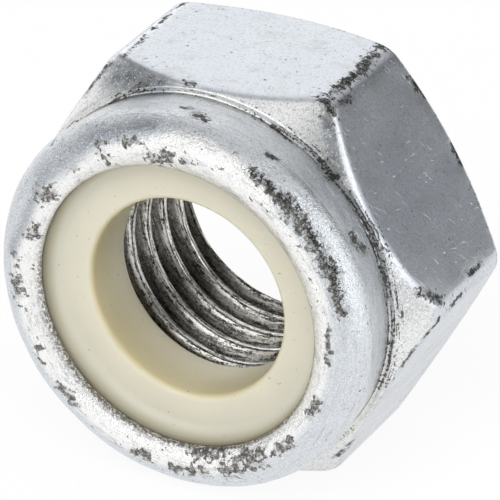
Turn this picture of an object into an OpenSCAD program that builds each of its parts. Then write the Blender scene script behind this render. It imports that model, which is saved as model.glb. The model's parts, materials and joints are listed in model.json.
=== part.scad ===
/* [Hexagon] */
// Distance across the flats
across_flats = 19; // [18.6:0.1:22]
// Rounding radius of the six upright edges
edge_r = 1; // [0.3:0.1:2]
// Diameter of the flat ring of the bearing face
bearing_d = 18; // [16:0.1:18.4]
// Slope of the chamfer round the bearing face, in degrees
bearing_slope = 30; // [15:1:40]
// Height of the shoulder on which the collar stands
shoulder_z = 8.6; // [8.2:0.1:9.2]
// Diameter of the narrow flat ledge on top of the shoulder
shoulder_d = 18.86; // [18.7:0.02:18.9]
// Slope of the chamfer that runs down from the ledge to the corners, in degrees
shoulder_slope = 46; // [25:1:55]

/* [Collar] */
// Overall height, from the bearing face to the crown of the collar
nut_h = 12; // [11.5:0.1:14]
// Greatest diameter of the collar, at the crown's widest point
collar_d = 18.56; // [18:0.02:18.7]
// Radius of the crown in section, where the wall is rolled inwards
crown_r = 1.4; // [1:0.05:1.6]
// Lean of the collar's wall out from its foot, in degrees
wall_lean = 5.5; // [1:0.5:6]
// Thickness of the collar's wall and of the lip
wall_t = 1.25; // [0.8:0.05:1.5]
// Radius of the hollow fillet at the foot of the collar
foot_fillet_r = 0.25; // [0.1:0.05:0.25]
// Diameter of the opening inside the rolled lip
lip_d = 13.95; // [12.5:0.05:14.4]
// Rounding of the lip's lower edge
lip_edge_r = 0.3; // [0.1:0.05:0.5]

/* [Thread] */
// Nominal diameter of the thread
thread_d = 12; // [10:0.5:12]
// Pitch of the thread
thread_pitch = 1.5; // [1:0.25:2]
// Diameter of the countersink at each end of the thread
countersink_d = 12.8; // [12.2:0.1:14]
// Slope of the countersinks from the thread's axis, in degrees
countersink_slope = 60; // [30:5:70]
// Height of the end of the thread, where the insert is seated
seat_z = 7.6; // [6.5:0.1:8.4]

/* [Insert] */
// Diameter of the plain hole in the insert
insert_hole_d = 9.72; // [9:0.02:10.4]
// Play between the insert and the collar's wall and lip
insert_gap = 0.05; // [0.02:0.01:0.15]
// Rounding of the insert's upper outer edge
insert_shoulder_r = 0.5; // [0.2:0.05:0.8]
// Rounding of the edges of the insert's hole
insert_edge_r = 0.2; // [0.05:0.05:0.4]

/* [Hidden] */
$fn = 96;
// Overrun of a cut past the face that it opens
overrun = 0.2;
// Where the seam of each turned surface lies, away from the corners and the middles of the flats
seam_turn = 15;

// Hexagon: the round of each edge is a hair larger than one that only touches the flats, so that it crosses them
edge_ease = 0.002;
corner_centre_r = (across_flats / 2 - edge_r) / cos(30);
turned_r = corner_centre_r + edge_r + overrun;
bearing_rim_z = (turned_r - bearing_d / 2) * tan(bearing_slope);
shoulder_rim_z = shoulder_z - (turned_r - shoulder_d / 2) * tan(shoulder_slope);

// Collar: the wall is a line that touches the crown's circle
crown_centre_r = collar_d / 2 - crown_r;
crown_centre_z = nut_h - crown_r;
wall_top_r = crown_centre_r + crown_r * cos(wall_lean);
wall_top_z = crown_centre_z - crown_r * sin(wall_lean);
wall_foot_r = wall_top_r - (wall_top_z - shoulder_z) * tan(wall_lean);

// Thread: the crest of a metric internal thread
minor_d = thread_d - 1.0825 * thread_pitch;
countersink_h = (countersink_d - minor_d) / 2 / tan(countersink_slope);

// Insert
insert_r = collar_d / 2 - wall_t - insert_gap;
insert_top_z = nut_h - wall_t - insert_gap;

// The nut lies on one flat, under the middle of its length, with the collar towards the front
module as_it_lies() {
    translate([0, nut_h / 2, across_flats / 2]) rotate([90, 0, 0]) children();
}

// Hexagon with rounded corners, one corner on the X axis
module rounded_hexagon() {
    difference() {
        circle(r = across_flats / 2 / cos(30), $fn = 6);
        for (turn = [0:60:300])
            rotate(turn) translate([corner_centre_r, 0]) corner_waste();
    }
}

// What rounding takes off one corner, seen from the centre of the round
module corner_waste() {
    difference() {
        translate([edge_r * cos(30), -edge_r]) square(2 * edge_r);
        circle(r = edge_r + edge_ease);
    }
}

// Section of what turning leaves of the hexagon: a chamfer at each end
module hexagon_section() {
    polygon([
        [0, 0],
        [bearing_d / 2, 0],
        [turned_r, bearing_rim_z],
        [turned_r, shoulder_rim_z],
        [shoulder_d / 2, shoulder_z],
        [0, shoulder_z]
    ]);
}

// Section of the collar, drawn solid: leaning wall, rolled crown and the fillet at its foot
module collar_section() {
    polygon([
        [0, seat_z],
        [wall_foot_r, seat_z],
        [wall_foot_r, shoulder_z],
        [wall_top_r, wall_top_z],
        [crown_centre_r, crown_centre_z],
        [0, crown_centre_z]
    ]);
    translate([crown_centre_r, crown_centre_z]) circle(r = crown_r);
    difference() {
        translate([wall_foot_r - foot_fillet_r / 2, shoulder_z - foot_fillet_r / 2])
            square(foot_fillet_r * 1.5);
        translate([wall_foot_r + foot_fillet_r, shoulder_z + foot_fillet_r])
            circle(r = foot_fillet_r);
    }
}

// Outline of the insert's outer side, from the axis out, grown by the play round it
module insert_outline(play) {
    reach = insert_r + play;
    top = insert_top_z + play;
    round_r = insert_shoulder_r + play;
    translate([0, seat_z]) square([reach, top - seat_z - round_r]);
    translate([0, seat_z]) square([reach - round_r, top - seat_z]);
    translate([reach - round_r, top - round_r]) circle(r = round_r);
}

// Space inside the collar: the insert's pocket and the opening that the lip leaves over it
module collar_pocket() {
    pocket_top = insert_top_z + insert_gap;
    rotate_extrude() {
        insert_outline(insert_gap);
        translate([0, seat_z]) square([lip_d / 2, nut_h - seat_z + overrun]);
        difference() {
            translate([0, seat_z]) square([lip_d / 2 + lip_edge_r, pocket_top - seat_z + lip_edge_r]);
            translate([lip_d / 2 + lip_edge_r, pocket_top + lip_edge_r]) circle(r = lip_edge_r);
        }
    }
}

// Cone that opens upwards from the thread's crest, and runs past the face at its wide end
module countersink() {
    cylinder(
        d1 = minor_d,
        d2 = countersink_d + 2 * overrun * tan(countersink_slope),
        h = countersink_h + overrun
    );
}

// Bore on the crests of the thread, with a countersink at each end
module thread_bore() {
    translate([0, 0, -overrun]) cylinder(d = minor_d, h = seat_z + 2 * overrun);
    translate([0, 0, countersink_h]) mirror([0, 0, 1]) countersink();
    translate([0, 0, seat_z - countersink_h]) countersink();
}

// Forged and turned steel body: hexagon, collar and rolled lip in one piece
module nut_body() {
    color("silver")
    difference() {
        intersection() {
            linear_extrude(height = nut_h) rounded_hexagon();
            rotate(seam_turn) rotate_extrude() {
                hexagon_section();
                collar_section();
            }
        }
        collar_pocket();
        thread_bore();
    }
}

// Locking ring, seated on the end of the thread and held down by the lip
module nylon_insert() {
    hole_r = insert_hole_d / 2;
    color("cornsilk")
    rotate_extrude()
    difference() {
        insert_outline(0);
        square([hole_r, nut_h]);
        for (edge = [[seat_z, 1], [insert_top_z, -1]])
            translate([hole_r, edge[0]]) difference() {
                square(2 * insert_edge_r, center = true);
                translate([insert_edge_r, edge[1] * insert_edge_r]) circle(r = insert_edge_r);
            }
    }
}

as_it_lies() nut_body();
as_it_lies() nylon_insert();
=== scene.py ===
import json
import math

import bmesh
import bpy
import numpy as np
from mathutils import Matrix, Vector, noise


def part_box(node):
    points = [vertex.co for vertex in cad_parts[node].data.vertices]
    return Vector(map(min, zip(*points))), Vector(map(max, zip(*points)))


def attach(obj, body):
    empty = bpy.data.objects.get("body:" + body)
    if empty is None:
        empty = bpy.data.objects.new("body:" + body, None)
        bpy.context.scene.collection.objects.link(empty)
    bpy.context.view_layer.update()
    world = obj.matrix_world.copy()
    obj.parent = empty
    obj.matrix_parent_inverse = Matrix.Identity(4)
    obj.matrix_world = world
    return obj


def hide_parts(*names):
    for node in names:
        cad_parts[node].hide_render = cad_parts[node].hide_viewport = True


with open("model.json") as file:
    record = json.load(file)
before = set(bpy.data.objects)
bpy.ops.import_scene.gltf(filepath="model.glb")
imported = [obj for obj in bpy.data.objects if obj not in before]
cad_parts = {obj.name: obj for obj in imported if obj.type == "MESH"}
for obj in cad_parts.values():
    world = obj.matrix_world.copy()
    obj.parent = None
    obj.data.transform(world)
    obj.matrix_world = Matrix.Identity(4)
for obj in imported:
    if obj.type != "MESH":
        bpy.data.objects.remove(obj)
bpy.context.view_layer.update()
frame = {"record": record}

# Lengths are in metres, and MM turns millimetres into them.
MM = 0.001

# The nut lies on one flat. Its own height runs along its axis, from the bearing face at the back
# to the crown of the collar at the front, and its own turn is counted from the corner on +X.
BODY_LOW, BODY_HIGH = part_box("nut_body")
RING_LOW, RING_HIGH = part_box("nylon_insert")
AXIS_Z = (BODY_HIGH.z + BODY_LOW.z) / 2
BEARING_Y = BODY_HIGH.y
FLAT_R = (BODY_HIGH.z - BODY_LOW.z) / 2
NUT_H = BODY_HIGH.y - BODY_LOW.y
SEAT_H = BEARING_Y - RING_HIGH.y
RING_TOP = BEARING_Y - RING_LOW.y
RING_R = (RING_HIGH.x - RING_LOW.x) / 2
MOUNT_R = {m["name"]: m["dims"].get("r_mm", 0) * MM for m in frame["record"]["mounts"]}

# Points nearer to each other than this are made one.
WELD = 0.0002 * MM

# Hexagon, which has a corner each sixth of a turn
SIXTH = math.pi / 3
EDGE_R = 1.0 * MM
BEARING_R = 9.0 * MM
BEARING_SLOPE = math.radians(30)
SHOULDER_H = 8.6 * MM
SHOULDER_R = 9.43 * MM
SHOULDER_SLOPE = math.radians(46)

# Collar
CROWN_R = 1.4 * MM
COLLAR_R = 9.28 * MM
WALL_LEAN = math.radians(5.5)
FOOT_FILLET_R = 0.25 * MM
LIP_R = 6.975 * MM

# Easing of the edges: rim of the bearing face, back and top edges of the flats, the ledge's edge
# and the foot of the collar, then the lip's lower edge
OUTER_EASING = (0.15 * MM, 0.35 * MM, 0.4 * MM, 0.12 * MM, FOOT_FILLET_R)
LIP_EASING = 0.1 * MM

# How far the top edge of each flat is rolled in, over what length of the flat, and the shares of
# the flat's length at which its rows lie, close together near that edge
BRIM_IN = 0.06 * MM
BRIM_LENGTH = 0.45 * MM
SIDE_SHARES = (*np.linspace(0, 0.93, 12), *np.linspace(0.945, 1, 8))

# Thread, whose helix starts at a share of the pitch, and the width of the line at the mouth of the
# countersink in which the bearing face gives way to the threaded wall
PITCH = 1.5 * MM
THREAD_START = -0.34
CREST_R = MOUNT_R["thread"]
ROOT_R = 6.0 * MM
COUNTERSINK_R = 6.4 * MM
COUNTERSINK_SLOPE = math.radians(60)
MOUTH_EDGE = 0.015 * MM

# Insert, with the play round it and the bead that the lip squeezes up at its rim
HOLE_R = MOUNT_R["insert_bore"]
RING_SHOULDER_R = 0.5 * MM
PLAY = 0.05 * MM
BEAD_H = 0.75 * MM
BEAD_W = 0.85 * MM

# Easing of the insert's edges: outer edge on the seat, mouth of the hole and its edge on the seat
RING_FOOT_EASING = 0.1 * MM
MOUTH_EASING = 0.32 * MM
SEAT_EASING = 0.2 * MM

# Zone of the threaded wall, past the zones that body_section gives the outside
THREAD_ZONE = 12

# Degrees to each side of a corner over which its wear as a ridge dies away
RIDGE_DEGREES = 3.2

# Worn places of the plating. Each runs from one point to another, both given as a turn in degrees,
# a radius and a height in millimetres, and its last number is its width in millimetres.
CROWN_WEAR = (
    ((115, 7.62, 11.97), (115, 7.62, 11.97), 0.50),
    ((116, 8.40, 11.90), (112, 8.40, 11.90), 0.22),
    ((144, 7.60, 11.97), (146, 7.75, 11.99), 0.60),
    ((161, 7.41, 11.92), (164, 7.60, 11.97), 0.42),
    ((128, 7.79, 12.00), (128, 7.79, 12.00), 0.34),
    ((97, 7.49, 11.94), (90, 7.65, 11.98), 0.50),
    ((84, 7.79, 12.00), (82, 7.79, 12.00), 0.30),
    ((106, 8.22, 11.96), (101, 8.30, 11.93), 0.34),
    ((-173, 8.11, 11.98), (-177, 8.05, 11.98), 0.50),
    ((174, 8.02, 11.99), (174, 8.02, 11.99), 0.34),
    ((-153, 7.84, 12.00), (-153, 7.84, 12.00), 0.28),
    ((-138, 8.08, 11.98), (-130, 8.03, 11.99), 0.40),
    ((-148, 8.14, 11.97), (-148, 8.14, 11.97), 0.20),
    ((-102, 8.01, 11.99), (-104, 8.10, 11.98), 0.52),
    ((-91, 8.17, 11.97), (-80, 7.97, 12.00), 0.45),
    ((-83, 7.26, 11.86), (-71, 7.23, 11.84), 0.42),
    ((-71, 8.00, 11.99), (-56, 7.78, 12.00), 0.60),
    ((-62, 7.38, 11.91), (-55, 7.50, 11.94), 0.45),
    ((-50, 7.80, 12.00), (-40, 7.82, 12.00), 0.30),
    ((-27, 7.76, 11.99), (-21, 7.80, 12.00), 0.36),
    ((-5, 7.89, 12.00), (8, 7.95, 12.00), 0.22),
)
BAND_WEAR = (
    ((62, 8.78, 11.67), (50, 8.73, 11.71), 0.36),
    ((50, 8.73, 11.71), (36, 8.68, 11.75), 0.58),
    ((36, 8.68, 11.75), (24, 8.70, 11.73), 0.52),
    ((24, 8.70, 11.73), (13, 8.57, 11.82), 0.40),
    ((30, 9.20, 9.80), (25, 9.17, 9.40), 0.50),
    ((92, 9.23, 9.98), (90, 9.23, 10.05), 0.34),
    ((86, 9.27, 10.39), (83, 9.27, 10.60), 0.46),
    ((134, 9.17, 11.14), (134, 9.17, 11.14), 0.26),
    ((62, 9.28, 10.66), (60, 9.28, 10.50), 0.28),
)
HEXAGON_WEAR = (
    ((61, 10.8, 7.1), (58, 10.7, 7.4), 0.62),
    ((57.5, 10.7, 6.2), (58, 10.7, 5.4), 0.34),
    ((61.5, 10.8, 5.9), (61, 10.8, 3.8), 0.36),
    ((61.5, 10.8, 3.2), (62, 10.75, 2.4), 0.46),
    ((62.5, 10.7, 1.6), (62, 10.7, 1.0), 0.40),
    ((50, 9.5, 8.5), (46, 9.4, 8.6), 0.42),
    ((96, 9.56, 8.3), (94, 9.56, 8.3), 0.34),
    ((113, 9.5, 8.5), (108, 9.5, 8.5), 0.26),
    ((118, 10.7, 4.4), (118.5, 10.75, 2.6), 0.18),
    ((117, 10.6, 7.2), (117.5, 10.6, 5.2), 0.20),
    ((119, 10.75, 1.8), (118, 10.7, 0.9), 0.18),
    ((31, 9.5, 0.4), (25, 9.55, 0.45), 0.15),
    ((19, 9.8, 0.6), (14, 10.0, 0.7), 0.15),
    ((46, 9.9, 0.6), (52, 10.3, 0.9), 0.18),
    ((121, 10.6, 7.4), (131, 10.0, 8.0), 0.28),
    ((8, 10.2, 7.8), (2.5, 10.7, 6.4), 0.34),
    ((2.4, 10.7, 3.9), (2.4, 10.7, 2.6), 0.22),
    ((-52, 10.0, 8.0), (-46, 9.9, 8.1), 0.34),
    ((-1, 10.8, 6.9), (-5, 10.35, 7.5), 0.20),
    ((-7, 10.15, 7.75), (-14, 9.8, 8.2), 0.16),
    ((-1, 10.8, 5.9), (0, 10.8, 4.6), 0.16),
    ((-62, 10.8, 5.0), (-61, 10.8, 2.0), 0.30),
    ((178, 10.8, 6.5), (179, 10.8, 3.4), 0.34),
    ((-119, 10.8, 6.8), (-121, 10.8, 5.2), 0.36),
)

# Places where dark blue-grey reflections are painted into the plating as painted shade, given as the wear
# is
DARK_REFLECTION_PLACES = (
    ((97, 8.90, 11.57), (115, 8.62, 11.79), 0.42),
    ((115, 8.62, 11.79), (142, 8.25, 11.95), 0.50),
    ((142, 8.25, 11.95), (172, 8.28, 11.94), 0.36),
    ((119, 10.1, 7.9), (105, 9.55, 8.4), 0.95),
    ((57, 10.4, 7.6), (50, 9.7, 8.3), 0.40),
    ((30, 9.5, 5.5), (30, 9.5, 3.0), 5.0),
)

# Black lines along the foot of the collar, given as the wear is
FOOT_LINES = (
    ((28, 9.42, 8.55), (2, 9.45, 8.52), 0.46),
    ((2, 9.45, 8.52), (-20, 9.35, 8.60), 0.46),
    ((55, 9.38, 8.60), (28, 9.42, 8.55), 0.34),
    ((75, 9.36, 8.61), (55, 9.38, 8.60), 0.26),
    ((118, 9.34, 8.62), (75, 9.36, 8.61), 0.12),
    ((180, 9.34, 8.62), (118, 9.34, 8.62), 0.22),
    ((-100, 9.34, 8.60), (-160, 9.34, 8.60), 0.30),
)

# Colours of the plating, each as red, green, blue and 1 for solid
ZINC_DEEP = (0.63, 0.67, 0.725, 1)
ZINC_PALE = (0.73, 0.765, 0.81, 1)
ZINC_COLLAR = (0.70, 0.735, 0.77, 1)
# Painted highlight on the crown's inner band
CROWN_PAINTED_HIGHLIGHT = (0.94, 0.94, 0.93, 1)
SHOULDER_FROST = (0.86, 0.85, 0.82, 1)
FOOT_BUFF = (0.80, 0.77, 0.70, 1)
GRIME = (0.28, 0.29, 0.305, 1)
# Painted dark reflections, blue-grey, on the collar, the flats and the shoulder
COLLAR_DARK_REFLECTION = (0.30, 0.33, 0.37, 1)
SIDE_DARK_REFLECTION = (0.26, 0.33, 0.47, 1)
SHOULDER_DARK_REFLECTION = (0.13, 0.14, 0.15, 1)
# Painted sparkle of the rough plating: dark specks, and white glints whose white also colours the real
# scratches
PAINTED_SPARKLE_DARK = (0.27, 0.28, 0.30, 1)
PAINTED_GLINT_AND_SCRATCH = (0.95, 0.96, 0.97, 1)
TURNING_MARK = (0.45, 0.46, 0.48, 1)
STAIN = (0.47, 0.455, 0.43, 1)
STREAK = (0.36, 0.365, 0.38, 1)
DRAWN_STREAK = (0.46, 0.455, 0.445, 1)
BRUSH_DARK = (0.40, 0.41, 0.43, 1)
BRUSH_LIGHT = (0.90, 0.94, 0.99, 1)
DULLED = (0.27, 0.275, 0.28, 1)
# Painted shade, brownish, on the inside of the lip and the pocket round the nylon
LIP_INSIDE_SHADE = (0.32, 0.29, 0.24, 1)

# Colours of the threaded wall: dark cuts, partly painted shade inside the bore, a painted highlight on
# the crests, painted glints and painted light at the lower right
CUT_DARK = (0.028, 0.027, 0.024, 1)
CUT_LIGHT = (0.25, 0.245, 0.225, 1)
CUT_PAINTED_LIGHT = (0.60, 0.59, 0.56, 1)
CREST_PAINTED_HIGHLIGHT = (0.84, 0.83, 0.80, 1)
CREST_PAINTED_GLINT = (0.90, 0.89, 0.86, 1)

# Colours of the wear, and of the painted shade where the crown meets the nylon
PIT_DARK = (0.015, 0.015, 0.014, 1)
PIT_LIGHT = (0.20, 0.195, 0.185, 1)
FLAKE_DARK = (0.10, 0.097, 0.09, 1)
FLAKE_LIGHT = (0.42, 0.41, 0.39, 1)
DOT = (0.08, 0.078, 0.075, 1)
SCRAPE = (0.40, 0.40, 0.40, 1)
FOOT_BLACK_LINE = (0.05, 0.043, 0.036, 1)
RIM_PAINTED_SHADE = (0.10, 0.09, 0.08, 1)
LIP_SHADE = (0.26, 0.255, 0.24, 1)

# Colours of the nylon, with painted light and shade in the bore, and painted shade by the lip
NYLON_DEEP = (0.595, 0.57, 0.465, 1)
NYLON_PALE = (0.65, 0.62, 0.51, 1)
NYLON_SPECK = (0.25, 0.20, 0.13, 1)
BORE_DEEP_LIT = (0.62, 0.575, 0.43, 1)
BORE_MOUTH_SHADED = (0.57, 0.51, 0.32, 1)
SQUEEZED_BROWN_AND_SHADE = (0.38, 0.33, 0.21, 1)
UNDER_LIP_SHADE = (0.19, 0.16, 0.10, 1)

# Camera, as the photograph was taken: a long lens, a little above the nut and to its right
CAMERA_AZIMUTH = math.radians(28.8)
CAMERA_ELEVATION = math.radians(28.22)
CAMERA_ROLL = math.radians(-1.08)
CAMERA_DISTANCE = 257.8 * MM
CAMERA_AIM = Vector((0.435, 0.534, 9.565)) * MM
LENS = 409.5
SENSOR = 36.0

# Light: the room's own level, and soft panels by azimuth from +Y, elevation, the angles at which
# they are full and gone, and strength
ROOM_LEVEL = 0.13
SOFT_PANELS = (
    (88, 6, 29, 42, 1.60),
    (61, 32, 6, 15, 0.80),
    (113, 8, 9, 21, 0.70),
    (-157, 6, 16, 26, 1.55),
    (-168, 36, 16, 27, 1.45),
    (-82, 8, 8, 27, 0.95),
    (-55, 8, 8, 28, 0.85),
    (-29, 22, 10, 28, 1.02),
    (8, 45, 6, 32, 0.35),
    (0, 85, 15, 55, 0.58),
)
FILL_WATTS = 0.45

# How much of the floor's look to the camera is plain white, and how far the floor reaches, in metres
FLOOR_WHITENESS = 0.91
FLOOR_REACH = 1.2


def to_world(points):
    """Points of the nut's own frame, height along the third column, in the frame of the part."""
    return np.stack([points[:, 0], BEARING_Y - points[:, 2], AXIS_Z + points[:, 1]], axis=1)


def mesh_object(name, points, faces, attributes=None):
    """A mesh object of world points and faces, with one number per point for each attribute."""
    mesh = bpy.data.meshes.new(name)
    mesh.from_pydata([tuple(p) for p in points], [], faces)
    for key, values in (attributes or {}).items():
        layer = mesh.attributes.new(key, "FLOAT", "POINT")
        layer.data.foreach_set("value", np.asarray(values, np.float32))
    work = bmesh.new()
    work.from_mesh(mesh)
    bmesh.ops.remove_doubles(work, verts=work.verts, dist=WELD)
    bmesh.ops.dissolve_degenerate(work, edges=work.edges, dist=WELD)
    bmesh.ops.recalc_face_normals(work, faces=work.faces)
    work.to_mesh(mesh)
    work.free()
    mesh.polygons.foreach_set("use_smooth", [True] * len(mesh.polygons))
    thing = bpy.data.objects.new(name, mesh)
    bpy.context.scene.collection.objects.link(thing)
    return thing


def grid_faces(rows, columns, helix_row=None, lap=0):
    """Quads of a grid that closes on itself both ways, with its points stored row by row.

    From helix_row on, the rows follow a helix, lap rows to each pitch: there the last column is
    joined to the row of the first column that lies one pitch on.
    """
    r, c = np.meshgrid(np.arange(rows), np.arange(columns), indexing="ij")
    r2, c2 = (r + 1) % rows, (c + 1) % columns
    met, met2 = r, r2
    if lap:
        met, met2 = (
            np.where((c == columns - 1) & (row >= helix_row), np.maximum(row - lap, helix_row), row)
            for row in (r, r2)
        )
    corners = [r * columns + c, met * columns + c2, met2 * columns + c2, r2 * columns + c]
    return np.stack(corners, axis=-1).reshape(-1, 4).tolist()


def spread(low, high, steps):
    """Steps + 1 even numbers from low to high."""
    return np.linspace(low, high, steps + 1)


def corner_centre():
    """How far the centre of a corner's round lies from the axis."""
    return (FLAT_R - EDGE_R) / math.cos(math.radians(30))


def corner_touch():
    """The turn, from the middle of a corner, at which its round gives way to a flat."""
    return math.atan2(EDGE_R / 2, corner_centre() + EDGE_R * math.cos(math.radians(30)))


def from_corner(turns):
    """How far each turn lies from the nearest corner."""
    return turns - np.round(turns / SIXTH) * SIXTH


def hexagon_turns(corner_steps, flat_steps):
    """Turns round the nut, close together over the six rounded corners."""
    touch = corner_touch()
    turns = []
    for corner in range(6):
        middle = corner * SIXTH
        turns += list(middle + spread(-touch, touch, corner_steps)[:-1])
        turns += list(middle + spread(touch, SIXTH - touch, flat_steps)[:-1])
    return np.array(turns)


def hexagon_reach(turns):
    """Distance from the axis to the rounded hexagon at each turn."""
    away = from_corner(turns)
    straight = FLAT_R / np.cos(SIXTH / 2 - np.abs(away))
    centre = corner_centre()
    inside = np.clip(EDGE_R**2 - (centre * np.sin(away)) ** 2, 0, None)
    rounded = centre * np.cos(away) + np.sqrt(inside)
    return np.where(np.abs(away) < corner_touch(), rounded, straight)


def eased_path(points, rounds, steps, round_steps=5):
    """A path through points, each an (r, h) pair of arrays over the turns, with its corners eased.

    rounds holds the easing radius of each inner point, and steps the steps of each straight or the
    shares at which its rows lie. Also gives how far along each row is, 1 for each straight, so that
    its zone is known.
    """
    paths, zones = [], []
    start = points[0]
    for i in range(1, len(points)):
        end = points[i]
        ease = rounds[i - 1] if i < len(points) - 1 else 0
        if ease:
            ahead = points[i + 1] - points[i]
            back = points[i - 1] - points[i]
            ahead_length = np.linalg.norm(ahead, axis=0)
            back_length = np.linalg.norm(back, axis=0)
            ahead_way, back_way = ahead / ahead_length, back / back_length
            turn = np.arccos(np.clip((ahead_way * back_way).sum(0), -1, 1))
            reach = np.minimum(ease / np.tan(turn / 2), 0.45 * np.minimum(ahead_length, back_length))
            end = points[i] + back_way * reach
            leave = points[i] + ahead_way * reach
        step = steps[i - 1]
        shares = spread(0, 1, step) if isinstance(step, int) else step
        for t in shares[:-1]:
            paths.append(start * (1 - t) + end * t)
            zones.append(i - 1)
        if ease:
            for t in spread(0, 1, round_steps)[:-1]:
                paths.append(end * (1 - t) ** 2 + points[i] * (2 * t * (1 - t)) + leave * t**2)
                zones.append(i - 1 + t)
            start = leave
        else:
            start = end
    paths.append(points[-1])
    zones.append(len(points) - 2)
    return paths, zones


def pair(r, h, like):
    """An (r, h) pair of arrays as long as the turns."""
    return np.stack([np.zeros_like(like) + r, np.zeros_like(like) + h])


def turned_points(radius, height, turns):
    """Points of the nut's own frame, row by row, from the radius and height of each row's points."""
    points = np.stack([radius * np.cos(turns), radius * np.sin(turns), height], axis=-1)
    return points.reshape(-1, 3)


def body_section(turns):
    """Rows of the body's outside, from the countersink round the outside and down to the seat.

    Their zones are 0 bearing face, 1 back cone, 2 side, 3 shoulder, 4 foot, 5 wall of the collar,
    6 crown, 7 lip, 8 and 9 pocket and 10 seat.
    """
    reach = hexagon_reach(turns)
    crown_r, crown_h = COLLAR_R - CROWN_R, NUT_H - CROWN_R
    wall_top = (crown_r + CROWN_R * math.cos(WALL_LEAN), crown_h - CROWN_R * math.sin(WALL_LEAN))
    wall_foot_r = wall_top[0] - (wall_top[1] - SHOULDER_H) * math.tan(WALL_LEAN)
    outer, outer_zones = eased_path(
        [
            pair(COUNTERSINK_R + MOUTH_EDGE, 0, turns),
            pair(BEARING_R, 0, turns),
            pair(reach, (reach - BEARING_R) * math.tan(BEARING_SLOPE), turns),
            pair(reach, SHOULDER_H - (reach - SHOULDER_R) * math.tan(SHOULDER_SLOPE), turns),
            pair(SHOULDER_R, SHOULDER_H, turns),
            pair(wall_foot_r, SHOULDER_H, turns),
            pair(*wall_top, turns),
        ],
        rounds=OUTER_EASING,
        steps=[6, 6, SIDE_SHARES, 8, 1, 10],
    )
    lip_turn = math.acos((LIP_R - crown_r) / CROWN_R)
    crown = [
        pair(crown_r + CROWN_R * math.cos(a), crown_h + CROWN_R * math.sin(a), turns)
        for a in spread(-WALL_LEAN, lip_turn, 30)
    ]
    pocket_r, pocket_top = RING_R + PLAY, RING_TOP + PLAY
    inner, inner_zones = eased_path(
        [
            crown[-1],
            pair(LIP_R, pocket_top, turns),
            pair(pocket_r, pocket_top, turns),
            pair(pocket_r, SEAT_H, turns),
            pair(COUNTERSINK_R, SEAT_H, turns),
        ],
        rounds=[LIP_EASING, RING_SHOULDER_R, 0],
        steps=[5, 3, 2, 3],
    )
    zones = outer_zones[:-1] + [6] * len(crown) + [7 + zone for zone in inner_zones[1:]]
    return outer[:-1] + crown + inner[1:], zones


def thread_section(turns):
    """Rows of the threaded wall, from the seat down to the bearing face, following the helix.

    Also gives the number of rows to each pitch.
    """
    # One flank: how far from the middle of the crest, as a share of the pitch, and how deep, as a
    # share of the way from crest to root
    flank = [(0.4375, 1.0), (0.35, 0.74), (0.26, 0.47), (0.18, 0.21), (0.125, 0.05), (0.10, 0.0)]
    left = [(-phase, share) for phase, share in flank]
    profile = left + [(0.0, 0.0)] + flank[::-1]
    rows = []
    for coil in range(-2, math.ceil(SEAT_H / PITCH) + 2):
        for phase, _ in profile:
            height = np.clip((coil + phase + THREAD_START + turns / (2 * math.pi)) * PITCH, 0, SEAT_H)
            rows.append(pair(thread_reach(turns, height, profile), height, turns))
    return rows[::-1], len(profile)


def thread_reach(turns, height, profile):
    """Distance from the axis to the threaded wall, opened out by the countersink at each end."""
    phase = height / PITCH - THREAD_START - turns / (2 * math.pi)
    phase = phase - np.round(phase)
    share = np.interp(phase, [p for p, _ in profile], [s for _, s in profile])
    depth = np.minimum(height, SEAT_H - height) * math.tan(COUNTERSINK_SLOPE)
    return np.maximum(CREST_R + share * (ROOT_R - CREST_R), COUNTERSINK_R - depth)


def rolled_in(radius, height, turns, zones):
    """The radius of each row with the top edge of the flats rolled in, where it meets the shoulder."""
    edge = SHOULDER_H - (hexagon_reach(turns) - SHOULDER_R) * math.tan(SHOULDER_SLOPE)
    below = np.clip((height - edge + BRIM_LENGTH) / BRIM_LENGTH, 0, 1)
    above = np.clip((SHOULDER_H - height) / (SHOULDER_H - edge), 0, 1)
    near = (zones > 1.9) & (zones < 4)
    return radius - BRIM_IN * (below * above) ** 2 * near[:, None]


def nut_point(turn, radius, height):
    """A place on the nut, from degrees and millimetres, in its own frame in metres."""
    turn = math.radians(turn)
    return np.array([radius * math.cos(turn), radius * math.sin(turn), height]) * MM


def worn_share(points, places):
    """How much each point is worn: 1 in the middle of a worn place, 0 away from them all."""
    share = np.zeros(len(points))
    for start, end, width in places:
        a, b = nut_point(*start), nut_point(*end)
        along = b - a
        t = np.clip((points - a) @ along / max(along @ along, 1e-12), 0, 1)
        away = np.linalg.norm(points - a - t[:, None] * along, axis=1) / (width * MM)
        share = np.maximum(share, np.clip(1.25 - away, 0, 1))
    return share


def swell(points, scale, seed):
    """Smooth noise from about -1 to 1 at each point, with swells 1 / scale of a millimetre long."""
    shift = Vector((seed * 17.3, seed * 5.1, seed * 9.7))
    return np.array([noise.noise(Vector(p) * (scale / MM) + shift) for p in points])


def knock_about(points, radius, zones, ridge, worn):
    """Moves the points a few hundredths of a millimetre, as rolling, knocks and wear leave a nut.

    Its numbers are in millimetres until the last step.
    """
    outward = np.stack([points[:, 0] / radius, points[:, 1] / radius, np.zeros(len(points))], axis=1)
    upward = np.array([0.0, 0.0, 1.0])
    collar = np.clip(zones - 4, 0, 1) * np.clip(7.4 - zones, 0, 1)
    side = np.clip(1 - np.abs(zones - 2), 0, 1)
    slow, quick = swell(points, 0.55, 1), swell(points, 1.7, 2)
    rolled = collar * (0.030 * slow + 0.012 * quick)
    knocked = -side * ridge * (0.02 + 0.05 * np.clip(quick, 0, 1))
    sunk = -0.03 * worn * (collar + side)
    moved = (rolled + knocked + sunk) * MM
    return points + outward * moved[:, None] + upward * (0.5 * rolled * MM)[:, None]


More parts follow.
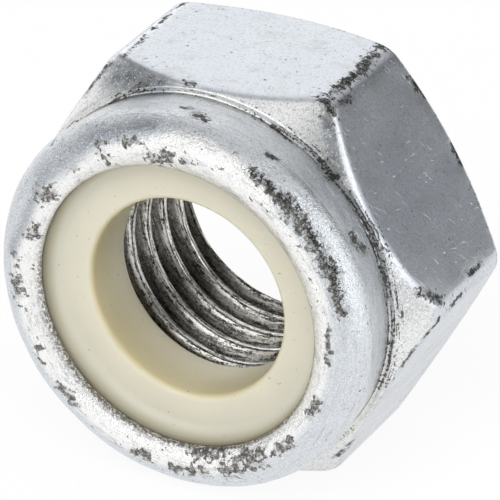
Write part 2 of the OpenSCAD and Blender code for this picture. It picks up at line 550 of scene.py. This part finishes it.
def make_body():
    """The steel body: hexagon, collar, rolled lip and thread as one closed skin."""
    turns = hexagon_turns(corner_steps=10, flat_steps=44)
    outside, zones = body_section(turns)
    thread, lap = thread_section(turns)
    rows = np.stack(outside + thread)
    zones = np.array(zones + [THREAD_ZONE] * len(thread))
    height = rows[:, 1]
    radius = rolled_in(rows[:, 0], height, turns, zones)
    points = turned_points(radius, height, turns)
    zone = np.repeat(zones, len(turns))
    ridge = np.clip(1 - np.degrees(np.abs(from_corner(turns))) / RIDGE_DEGREES, 0, 1)
    ridge = np.tile(ridge, len(rows))
    worn = worn_share(points, CROWN_WEAR + BAND_WEAR + HEXAGON_WEAR)
    marks = {"zone": zone, "ridge": ridge, "worn": worn}
    marks.update(lines=worn_share(points, FOOT_LINES), haze=worn_share(points, DARK_REFLECTION_PLACES))
    points = knock_about(points, radius.ravel(), zone, ridge, worn)
    faces = grid_faces(len(rows), len(turns), len(outside), lap)
    body = mesh_object("nut_body_skin", to_world(points), faces, marks)
    body.modifiers.new("crisp_flats", "WEIGHTED_NORMAL").weight = 80
    return body


def make_ring():
    """The nylon ring, a turned section with eased edges, squeezed up against the lip."""
    turns = spread(0, 2 * math.pi, 180)[:-1]
    bead_r = LIP_R - 0.01 * MM
    under_lip, _ = eased_path(
        [
            pair((HOLE_R + RING_R) / 2, SEAT_H, turns),
            pair(RING_R, SEAT_H, turns),
            pair(RING_R, RING_TOP, turns),
            pair(bead_r, RING_TOP, turns),
            pair(bead_r, RING_TOP + BEAD_H, turns),
        ],
        rounds=[RING_FOOT_EASING, RING_SHOULDER_R, 0],
        steps=[4, 6, 3, 2],
        round_steps=8,
    )
    bead = [
        pair(bead_r - BEAD_W * (1 - rise), RING_TOP + BEAD_H * rise**3, turns)
        for rise in spread(1, 0, 14)[1:]
    ]
    face, _ = eased_path(
        [
            bead[-1],
            pair(HOLE_R, RING_TOP, turns),
            pair(HOLE_R, SEAT_H, turns),
            pair((HOLE_R + RING_R) / 2, SEAT_H, turns),
        ],
        rounds=[MOUTH_EASING, SEAT_EASING],
        steps=[12, 12, 4],
        round_steps=8,
    )
    section = under_lip + bead + face[1:]
    rows = np.stack(section[:-1])
    points = turned_points(rows[:, 0], rows[:, 1], turns)
    return mesh_object("nylon_ring_skin", to_world(points), grid_faces(len(rows), len(turns)))


class Wire:
    """A socket of a material, so that shader maths reads as plain arithmetic."""

    def __init__(self, sheet, socket):
        self.sheet, self.socket = sheet, socket

    def maths(self, operation, *values):
        return self.sheet.node("ShaderNodeMath", {"operation": operation}, list(values))

    def __add__(self, other):
        return self.maths("ADD", self, other)

    def __radd__(self, other):
        return self.maths("ADD", other, self)

    def __sub__(self, other):
        return self.maths("SUBTRACT", self, other)

    def __rsub__(self, other):
        return self.maths("SUBTRACT", other, self)

    def __mul__(self, other):
        return self.maths("MULTIPLY", self, other)

    def __rmul__(self, other):
        return self.maths("MULTIPLY", other, self)

    def __truediv__(self, other):
        return self.maths("DIVIDE", self, other)

    def __pow__(self, other):
        return self.maths("POWER", self, other)

    def over(self, low, high):
        """0 below low, 1 above high, and smooth between."""
        settings = {"interpolation_type": "SMOOTHSTEP", "clamp": True}
        values = {"Value": self, "From Min": low, "From Max": high}
        return self.sheet.node("ShaderNodeMapRange", settings, values, "Result")


class Sheet:
    """The node tree of a material or world and the few ways in which nodes are added to it."""

    def __init__(self, owner):
        self.owner = owner
        owner.use_nodes = True
        self.tree = owner.node_tree
        self.tree.nodes.clear()

    def node(self, kind, settings=None, values=None, out=0):
        """Adds a node: its settings first, then values or wires for its sockets. Gives one output."""
        node = self.tree.nodes.new(kind)
        for key, value in (settings or {}).items():
            setattr(node, key, value)
        pairs = values.items() if isinstance(values, dict) else enumerate(values or [])
        for key, value in pairs:
            if isinstance(value, Wire):
                self.tree.links.new(value.socket, node.inputs[key])
            else:
                node.inputs[key].default_value = value
        return Wire(self, node.outputs[out]) if len(node.outputs) else None

    def place(self):
        """The point on the part, in millimetres."""
        spot = self.node("ShaderNodeTexCoord", out="Object")
        return self.scaled(spot, (1 / MM, 1 / MM, 1 / MM))

    def scaled(self, vector, by):
        """A vector times another, number by number."""
        return self.node("ShaderNodeVectorMath", {"operation": "MULTIPLY"}, [vector, by])

    def parts(self, vector):
        """The three numbers of a vector."""
        names = ("X", "Y", "Z")
        return [self.node("ShaderNodeSeparateXYZ", None, [vector], name) for name in names]

    def joined(self, x, y, z):
        """A vector of three numbers."""
        return self.node("ShaderNodeCombineXYZ", None, [x, y, z])

    def noise(self, at, scale, detail=3.0, roughness=0.5):
        """Smooth noise about 0.5."""
        values = {"Vector": at, "Scale": scale, "Detail": detail, "Roughness": roughness}
        return self.node("ShaderNodeTexNoise", None, values, "Fac")

    def blend(self, share, low, high):
        """A colour between two, by a share from 0 to 1."""
        # The colour sockets of a Mix node go by number, because sockets of other kinds share their names.
        values = {0: share, 6: low, 7: high}
        return self.node("ShaderNodeMix", {"data_type": "RGBA"}, values, 2)

    def layered(self, colour, layers):
        """A colour with others laid over it in turn, each given as its share and itself."""
        for share, laid in layers:
            colour = self.blend(share, colour, laid)
        return colour

    def seen(self):
        """1 for a ray from the camera or off a mirror, and 0 for one that brings light."""
        camera, glossy, through = (
            self.node("ShaderNodeLightPath", out=name)
            for name in ("Is Camera Ray", "Is Glossy Ray", "Is Transmission Ray")
        )
        return camera + glossy + through

    def mark(self, name):
        """A number stored on the mesh."""
        return self.node("ShaderNodeAttribute", {"attribute_name": name}, None, "Fac")

    def bump(self, height, reach):
        """A normal for a height from 0 to 1, where 1 stands reach millimetres proud."""
        return self.node("ShaderNodeBump", None, {"Height": height, "Distance": reach * MM}, "Normal")

    def finish(self, values):
        """The surface shader, wired to the output."""
        surface = self.node("ShaderNodeBsdfPrincipled", None, values)
        self.node("ShaderNodeOutputMaterial", None, {"Surface": surface})
        return self.owner


class NutSheet(Sheet):
    """The sheet of a material on the nut, with the place of the shaded point in millimetres."""

    def __init__(self, owner):
        super().__init__(owner)
        self.at = self.place()
        self.x, self.y, self.z = self.parts(self.at)
        self.across = self.z - AXIS_Z / MM
        self.radius = (self.x * self.x + self.across * self.across) ** 0.5
        self.height = BEARING_Y / MM - self.y

    def facing(self, sideways, upwards):
        """How much a place faces one way from the axis, 1 where it faces it fully."""
        return (self.x * sideways + self.across * upwards) / self.radius

    def drawn_round(self, width, line, detail, roughness):
        """Noise drawn out round the axis, the less the greater its width, and changing along line."""
        way = self.joined(self.x / self.radius * width, line, self.across / self.radius * width)
        return self.noise(way, 1.0, detail, roughness)

    def drawn_out(self, by, detail, roughness=0.5):
        """Noise drawn out along the directions in which the place is scaled up least."""
        return self.noise(self.scaled(self.at, by), 1.0, detail, roughness)


class ZincSheet(NutSheet):
    """The sheet of the plating: the zones, noises and wear that its colour and bumps are made of."""

    def __init__(self, owner):
        super().__init__(owner)
        self.read_zones()
        self.make_noises()
        self.make_wear()

    def read_zones(self):
        """Shares that are 1 in a zone of body_section, or in a part of one, and 0 away from it."""
        zone = self.mark("zone")
        self.bearing = zone.over(0.6, 0.2)
        self.side = zone.over(1.3, 1.6) * zone.over(2.7, 2.4)
        self.shoulder = zone.over(2.5, 2.9) * zone.over(3.9, 3.5)
        self.foot = zone.over(3.2, 3.9) * zone.over(4.95, 4.5)
        self.wall = zone.over(4.3, 4.9) * zone.over(5.9, 5.6)
        self.collar = zone.over(4.3, 4.9) * zone.over(7.5, 7.1)
        self.crown = zone.over(5.6, 6.0) * zone.over(7.5, 7.1)
        self.lip = zone.over(6.9, 7.1) * zone.over(10.9, 10.7)
        self.thread = zone.over(10.9, 11.1)
        self.top = self.crown * self.height.over(11.70, 11.84)
        self.crest = self.radius.over(CREST_R / MM + 0.26, CREST_R / MM + 0.05)
        self.under = self.across.over(-1.0, -4.5)
        chamfer = (self.radius - BEARING_R / MM) * math.tan(BEARING_SLOPE)
        self.brink = (self.height - chamfer).over(0.30, 0.02)

    def make_noises(self):
        """The noises that several layers share, from broad to fine."""
        self.cloud = self.noise(self.at, 0.5, 4.0)
        self.blotch = self.noise(self.at, 2.6, 6.0, 0.75)
        self.grain = self.noise(self.at, 7.0, 3.0, 0.65)
        self.fine = self.noise(self.at, 13.0, 2.0, 0.6)
        # Specks where white glints are painted
        self.painted_glints = self.fine.over(0.58, 0.66)
        self.brushed = self.drawn_round(7.0, (self.height - self.radius) * 5.0, 4.0, 0.65)

    def make_wear(self):
        """Pits and dull places where the plating is worn, black lines along the foot of the collar, dots,
        scratches and scrapes.
        """
        side, shoulder, collar, top = self.side, self.shoulder, self.collar, self.top
        worn, grain, cloud = self.mark("worn"), self.grain, self.cloud
        edges = side * (self.mark("ridge") + self.brink * 2.6) + self.crown * 0.40 - shoulder * 0.9

        flakes = self.noise(self.at, 3.4, 4.0, 0.58)
        coarse = 0.62 + 0.20 * top - 0.30 * side * self.brink - 0.17 * collar * (1 - top)
        ragged = flakes * coarse + grain * (1 - coarse) + worn * (0.165 + 0.02 * top) + edges * 0.035
        self.pits = (ragged - top * 0.018).over(0.625, 0.640) * (1 - 0.5 * self.painted_glints)
        faded = self.blotch + worn * (0.22 + 0.10 * shoulder) + edges * 0.03
        self.dulled = faded.over(0.60, 0.74)

        traces = self.mark("lines") + self.foot * 0.30
        grooves = self.drawn_round(5.0, (self.height - self.radius * 0.8) * 9.0, 3.0, 0.6)
        lined = grooves * 0.5 + grain * 0.5 + traces * 0.08
        self.foot_black_lines = lined.over(0.592, 0.608) * traces.over(0.02, 0.25)

        specks = self.noise(self.at, 9.5, 2.0).over(0.70, 0.74)
        self.dots = specks * cloud.over(0.42, 0.60) * (1 - self.thread)
        self.scratches = self.drawn_out((9.0, 1.3, 1.3), 1.0).over(0.73, 0.77)
        x, y, z = self.x, self.y, self.z
        slant = self.noise(self.joined((x + y) * 0.5, (x - y) * 7.0, z * 1.2), 1.0, 2.0)
        self.scrapes = slant.over(0.66, 0.74) * cloud.over(0.40, 0.55)

    def plate_colour(self):
        """Colour of the plating before it is worn through, layer by layer."""
        side, shoulder, collar, crown = self.side, self.shoulder, self.collar, self.crown
        grain, fine, haze = self.grain, self.fine, self.mark("haze")

        # The crown's painted highlight is a bright band that reaches further out at the top, and less far
        # at the lower right.
        upper = self.facing(0.26, 0.97).over(0.90, 0.99)
        lower = self.facing(0.90, -0.44).over(0.70, 0.95)
        painted_highlight = (self.radius - upper * 0.75 + lower * 0.32).over(8.40, 7.95)
        grime = grain.over(0.48, 0.28) * (0.55 - 0.25 * crown)
        shoulder_grime = (fine - 0.03).over(0.44, 0.31) * shoulder * 0.5
        painted_sparkle_dark = fine.over(0.45, 0.33) * (0.18 * collar + 0.10 * side)
        turned = self.noise(self.joined(self.radius * 8.0, self.height, self.height), 1.0, 3.0, 0.6)
        stains = self.drawn_out((0.7, 1.1, 1.6), 6.0, 0.7)
        streaks = self.drawn_out((9.0, 1.0, 9.0), 3.0, 0.6)
        drawn = self.drawn_out((3.6, 0.35, 3.6), 4.0, 0.65)

        zinc = self.blend(self.cloud, ZINC_DEEP, ZINC_PALE)
        return self.layered(zinc, (
            (collar, ZINC_COLLAR),
            # painted highlight on the crown
            (crown * painted_highlight, CROWN_PAINTED_HIGHLIGHT),
            (shoulder * 0.7, SHOULDER_FROST),
            (self.foot * 0.6, FOOT_BUFF),
            (grime + shoulder_grime, GRIME),
            # Painted dark reflections, blue-grey, on the collar, the flats and the shoulder
            (haze * (0.5 + 0.5 * grain) * (1 - side), COLLAR_DARK_REFLECTION),
            (haze * side * 0.18, SIDE_DARK_REFLECTION),
            (haze * shoulder * self.blotch.over(0.42, 0.62) * 0.7, SHOULDER_DARK_REFLECTION),
            # Painted sparkle: dark specks, then white glints
            (painted_sparkle_dark, PAINTED_SPARKLE_DARK),
            (self.painted_glints * (0.35 + 0.30 * collar + 0.60 * shoulder), PAINTED_GLINT_AND_SCRATCH),
            (turned.over(0.50, 0.62) * self.bearing * 0.25, TURNING_MARK),
            (stains.over(0.49, 0.64) * side * 0.32, STAIN),
            (streaks.over(0.50, 0.64) * side * 0.06, STREAK),
            (drawn.over(0.48, 0.62) * side * self.under * 0.5, DRAWN_STREAK),
            (self.brushed.over(0.52, 0.68) * collar * 0.45, BRUSH_DARK),
            (self.brushed.over(0.46, 0.30) * self.wall * 0.6, BRUSH_LIGHT),
            (self.dulled * (0.75 - 0.35 * self.top), DULLED),
            # painted shade inside the lip
            (self.lip, LIP_INSIDE_SHADE),
        ))

    def thread_colour(self):
        """Colour of the threaded wall: dark cuts, partly painted shade inside the bore, with a painted
        highlight on the crests and painted light at the lower right.
        """
        cuts = self.drawn_round(5.0, self.height * 14.0, 4.0, 0.7) * 0.7 + self.grain * 0.3
        # Painted light on the lower right of the thread
        lit_lower_right = (self.x * 0.6 - self.across * 0.8).over(1.5, 5.2)
        steel = self.blend(cuts.over(0.36, 0.64), CUT_DARK, CUT_LIGHT)
        return self.layered(steel, (
            (lit_lower_right * cuts.over(0.47, 0.58) * 0.65, CUT_PAINTED_LIGHT),
            (self.crest * cuts.over(0.45, 0.53), CREST_PAINTED_HIGHLIGHT),
            (self.painted_glints * (0.30 + 0.5 * self.crest + 0.2 * lit_lower_right), CREST_PAINTED_GLINT),
        ))

    def worn_colour(self):
        """Colour where the plating is gone: black pits, and greyer flakes on top of the crown."""
        pit = self.blend(self.grain.over(0.46, 0.70), PIT_DARK, PIT_LIGHT)
        flake = self.blend(self.grain.over(0.46, 0.62), FLAKE_DARK, FLAKE_LIGHT)
        return self.blend(self.top, pit, flake)

    def colour(self):
        """Colour of the whole body, with the thread, the wear and the painted shade round the lip."""
        grain, radius, marked = self.grain, self.radius, self.side + self.shoulder
        # Painted shade where the lip meets the nylon: a broken dark line all round, stronger below, and
        # one at the lower left
        rim = self.crown * radius.over(7.12, 7.02) * grain.over(0.40, 0.55)
        shaded = self.facing(-0.75, -0.66).over(0.3, 0.9) * self.crown * radius.over(7.27, 7.15)
        metal = self.blend(self.thread, self.plate_colour(), self.thread_colour())
        return self.layered(metal, (
            (self.pits, self.worn_colour()),
            (self.dots * 0.6, DOT),
            (self.scratches * marked * 0.28, PAINTED_GLINT_AND_SCRATCH),
            (self.scrapes * marked * 0.25, SCRAPE),
            (self.foot_black_lines * 0.9, FOOT_BLACK_LINE),
            (rim * (0.2 + 0.6 * self.across.over(3.0, -3.0)), RIM_PAINTED_SHADE),
            (shaded * grain.over(0.40, 0.60) * 0.6, LIP_SHADE),
        ))

    def bumps(self):
        """Height of the surface: grain and blotches, with pits and scratches sunk into it."""
        return (
            self.grain * (0.25 + 0.45 * self.collar)
            + self.blotch * (0.20 + self.collar * 1.3)
            + self.fine * (0.10 + 0.60 * self.collar)
            - self.pits * 0.4
            - self.foot_black_lines * 0.6
            - (self.scratches + self.scrapes) * self.side * 0.25
        )


def zinc_plate():
    """Bright zinc plating on steel: bluish, scuffed on its flats and pitted where it is worn."""
    sheet = ZincSheet(bpy.data.materials.new("worn_zinc_plate"))
    side, pits = sheet.side, sheet.pits
    smooth = 0.20 * sheet.crown + 0.05 * side
    return sheet.finish({
        "Base Color": sheet.colour(),
        "Metallic": 1.0 - 0.3 * pits - 0.3 * sheet.shoulder - 0.15 * sheet.wall,
        "Roughness": 0.30 - smooth + 0.08 * sheet.cloud * side + 0.25 * pits,
        "Normal": sheet.bump(sheet.bumps(), 0.035),
    })


def natural_nylon():
    """Cream nylon, a little translucent, browner in its bore and where the lip squeezes it up, with
    painted light and shade in the bore and painted shade at the lip.
    """
    sheet = NutSheet(bpy.data.materials.new("natural_nylon"))
    at, radius, height = sheet.at, sheet.radius, sheet.height
    flow = sheet.noise(at, 2.2, 3.0)
    specks = sheet.noise(at, 5.0, 1.0).over(0.765, 0.785)
    # The bore is paler deep in and darker and browner towards its mouth: painted light and shade
    mouth = height.over(8.2, 9.8) + flow * 0.5 - 0.25
    colour = sheet.layered(sheet.blend(sheet.noise(at, 0.4, 3.0), NYLON_DEEP, NYLON_PALE), (
        (radius.over(5.12, 4.86) * 0.9, sheet.blend(mouth, BORE_DEEP_LIT, BORE_MOUTH_SHADED)),
        # Browner where the lip squeezes the nylon up, partly its own colour and partly painted shade, and
        # a painted shadow line right under the lip
        (radius.over(6.50, 6.97) ** 1.5, SQUEEZED_BROWN_AND_SHADE),
        (radius.over(6.84, 6.97) * 0.6, UNDER_LIP_SHADE),
        (specks * 0.8, NYLON_SPECK),
    ))
    return sheet.finish({
        "Base Color": colour,
        "Roughness": 0.27 + 0.12 * flow,
        "Subsurface Weight": 0.5,
        "Subsurface Radius": (1.6 * MM, 1.3 * MM, 0.7 * MM),
        "Subsurface Scale": 1.0,
        "Normal": sheet.bump(flow, 0.02),
    })


def camera_axes():
    """The camera's right, up and backward directions."""
    flat = math.cos(CAMERA_ELEVATION)
    back = Vector((
        math.sin(CAMERA_AZIMUTH) * flat,
        -math.cos(CAMERA_AZIMUTH) * flat,
        math.sin(CAMERA_ELEVATION),
    ))
    right = Vector((math.cos(CAMERA_AZIMUTH), math.sin(CAMERA_AZIMUTH), 0))
    right.rotate(Matrix.Rotation(CAMERA_ROLL, 3, back))
    return right, back.cross(right), back


def make_camera():
    """The camera, which sees the nut as the photograph does."""
    right, up, back = camera_axes()
    data = bpy.data.cameras.new("camera")
    data.lens, data.sensor_width = LENS, SENSOR
    data.clip_start, data.clip_end = 0.01, 20
    camera = bpy.data.objects.new("camera", data)
    camera.matrix_world = Matrix((
        (right.x, up.x, back.x, 0),
        (right.y, up.y, back.y, 0),
        (right.z, up.z, back.z, 0),
        (0, 0, 0, 1),
    ))
    camera.location = CAMERA_AIM + back * CAMERA_DISTANCE
    bpy.context.scene.collection.objects.link(camera)
    bpy.context.scene.camera = camera


def make_floor():
    """A plain white floor under the nut."""
    mesh = bpy.data.meshes.new("floor")
    way_round = ((-1, -1), (1, -1), (1, 1), (-1, 1))
    corners = [(x * FLOOR_REACH, y * FLOOR_REACH, 0) for x, y in way_round]
    mesh.from_pydata(corners, [], [(0, 1, 2, 3)])
    floor = bpy.data.objects.new("floor", mesh)
    bpy.context.scene.collection.objects.link(floor)
    sheet = Sheet(bpy.data.materials.new("white_floor"))
    white = sheet.node("ShaderNodeEmission", None, {"Color": (1, 1, 1, 1), "Strength": 1.0})
    matt = sheet.node("ShaderNodeBsdfDiffuse", None, {"Color": (0.92, 0.92, 0.92, 1)})
    seen = sheet.seen()
    shown = sheet.node("ShaderNodeMixShader", None, [seen * FLOOR_WHITENESS, matt, white])
    sheet.node("ShaderNodeOutputMaterial", None, {"Surface": shown})
    floor.data.materials.append(sheet.owner)


def make_world():
    """Soft studio light: a grey room with large soft panels round the nut."""
    world = bpy.data.worlds.new("studio")
    bpy.context.scene.world = world
    sheet = Sheet(world)
    way = sheet.node("ShaderNodeTexCoord", out="Generated")
    level = ROOM_LEVEL
    for azimuth, elevation, inner, outer, strength in SOFT_PANELS:
        a, e = math.radians(azimuth), math.radians(elevation)
        middle = (math.sin(a) * math.cos(e), math.cos(a) * math.cos(e), math.sin(e))
        facing = sheet.node("ShaderNodeVectorMath", {"operation": "DOT_PRODUCT"}, [way, middle], "Value")
        lit = facing.over(math.cos(math.radians(outer)), math.cos(math.radians(inner)))
        level = level + lit * strength
    room = sheet.node("ShaderNodeBackground", None, {"Color": (1, 1, 1, 1), "Strength": level})
    sheet.node("ShaderNodeOutputWorld", None, {"Surface": room})


def area_lamp(name, toward, distance, size, watts):
    """A soft lamp that lights without showing as a hot spot in the metal."""
    data = bpy.data.lights.new(name, "AREA")
    data.shape, data.size, data.energy = "DISK", size, watts
    lamp = bpy.data.objects.new(name, data)
    way = Vector(toward).normalized()
    middle = Vector((0, 0, AXIS_Z))
    lamp.location = middle + way * distance
    lamp.rotation_mode = "QUATERNION"
    lamp.rotation_quaternion = way.to_track_quat("Z", "Y")
    lamp.visible_glossy = False
    bpy.context.scene.collection.objects.link(lamp)


make_camera()
make_floor()
make_world()
area_lamp("front_fill", toward=(0.2, -0.6, 0.75), distance=0.3, size=0.2, watts=FILL_WATTS)

body = make_body()
body.data.materials.append(zinc_plate())
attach(body, "root")
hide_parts("nut_body")

ring = make_ring()
ring.data.materials.append(natural_nylon())
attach(ring, "root")
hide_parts("nylon_insert")

bpy.context.scene.view_settings.view_transform = "Standard"
